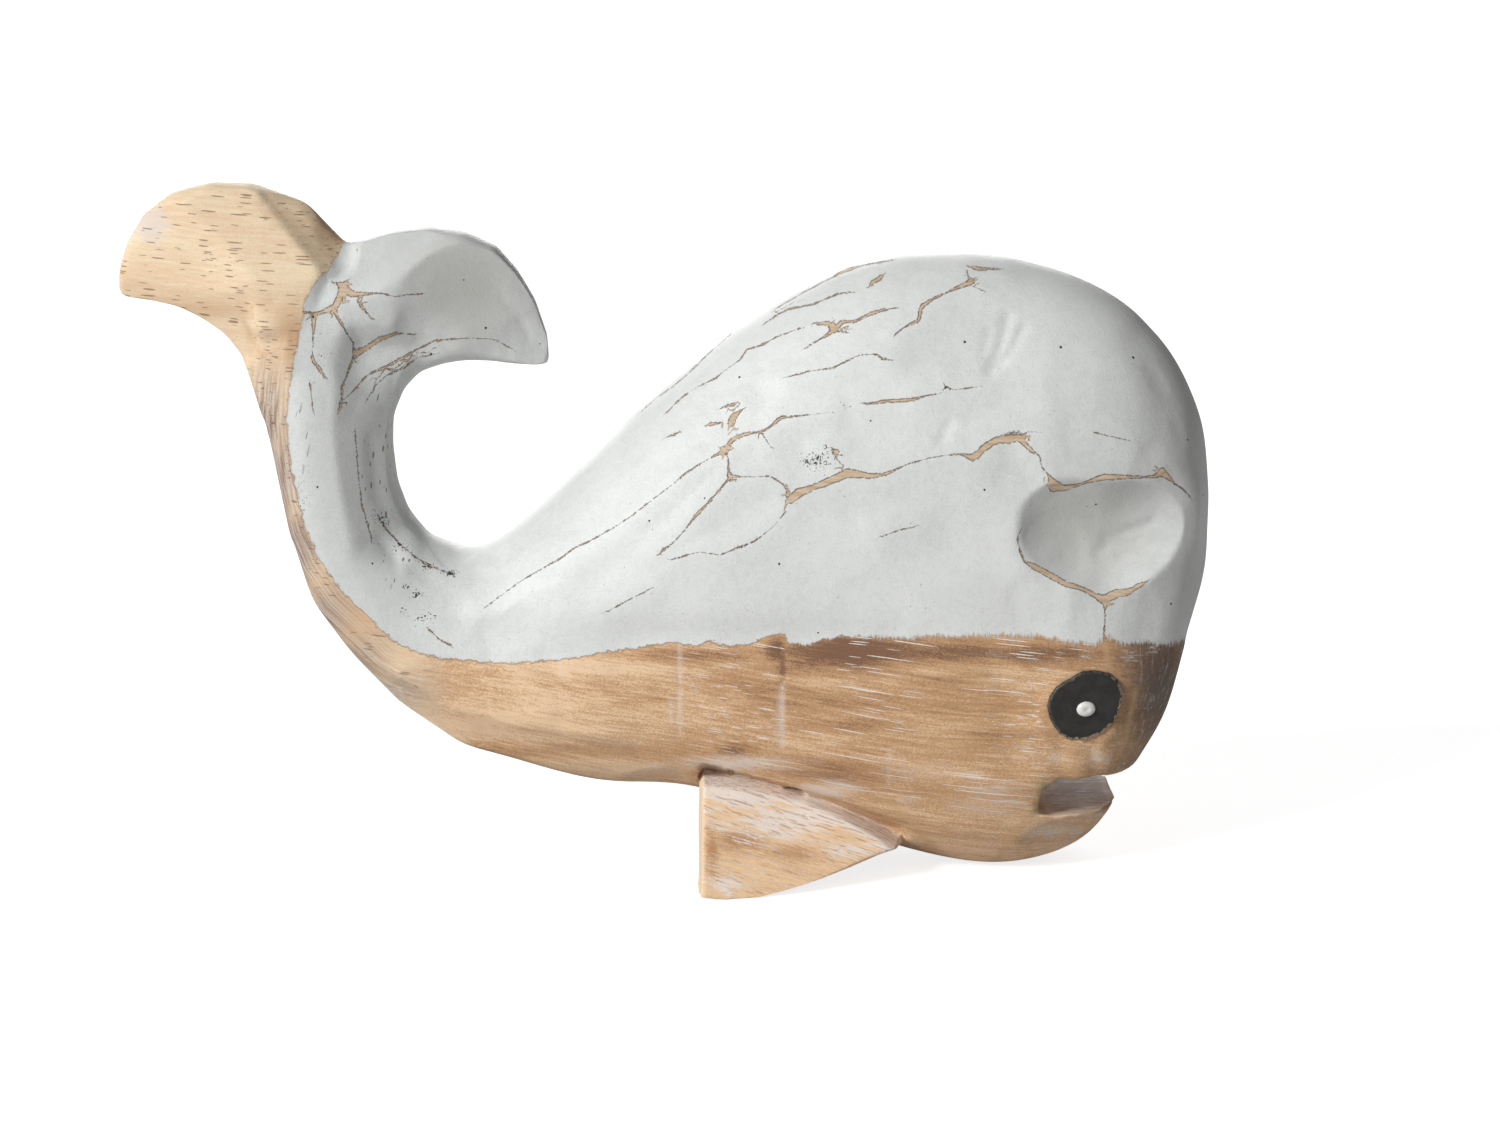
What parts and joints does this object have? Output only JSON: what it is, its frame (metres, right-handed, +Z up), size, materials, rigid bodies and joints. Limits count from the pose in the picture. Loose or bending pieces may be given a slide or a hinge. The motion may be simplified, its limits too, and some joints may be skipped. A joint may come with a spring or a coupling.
{
  "type": "whale figurine",
  "caption": "Carved wooden whale ornament with a raised tail, a sawn mouth and disc eyes, standing on two splayed fins and its chin.",
  "frame": {"origin": "centre of the bounding box, on the surface the whale stands on", "axes": "+X along the whale towards its head, +Z up, +Y towards its left side; the XZ plane halves it"},
  "size_m": [0.25, 0.0812, 0.1573],
  "materials": {
    "whitewashed_wood": "matte, worn off-white paint above, bare honey-coloured wood below",
    "limed_wood": "matte, bare wood rubbed with whitewash",
    "black_paint": "satin black paint with a chipped rim",
    "white_paint": "satin white paint",
    "dowel_wood": "bare, hidden in the joints"
  },
  "bodies": {
    "root": {"body_block": "whitewashed_wood", "tail_block": "whitewashed_wood", "tail_dowels": "dowel_wood", "right_fin": "limed_wood", "left_fin": "limed_wood", "right_fin_dowels": "dowel_wood", "left_fin_dowels": "dowel_wood", "right_eye_disc": "black_paint", "left_eye_disc": "black_paint", "right_eye_dot": "white_paint", "left_eye_dot": "white_paint"}
  },
  "joints": []
}
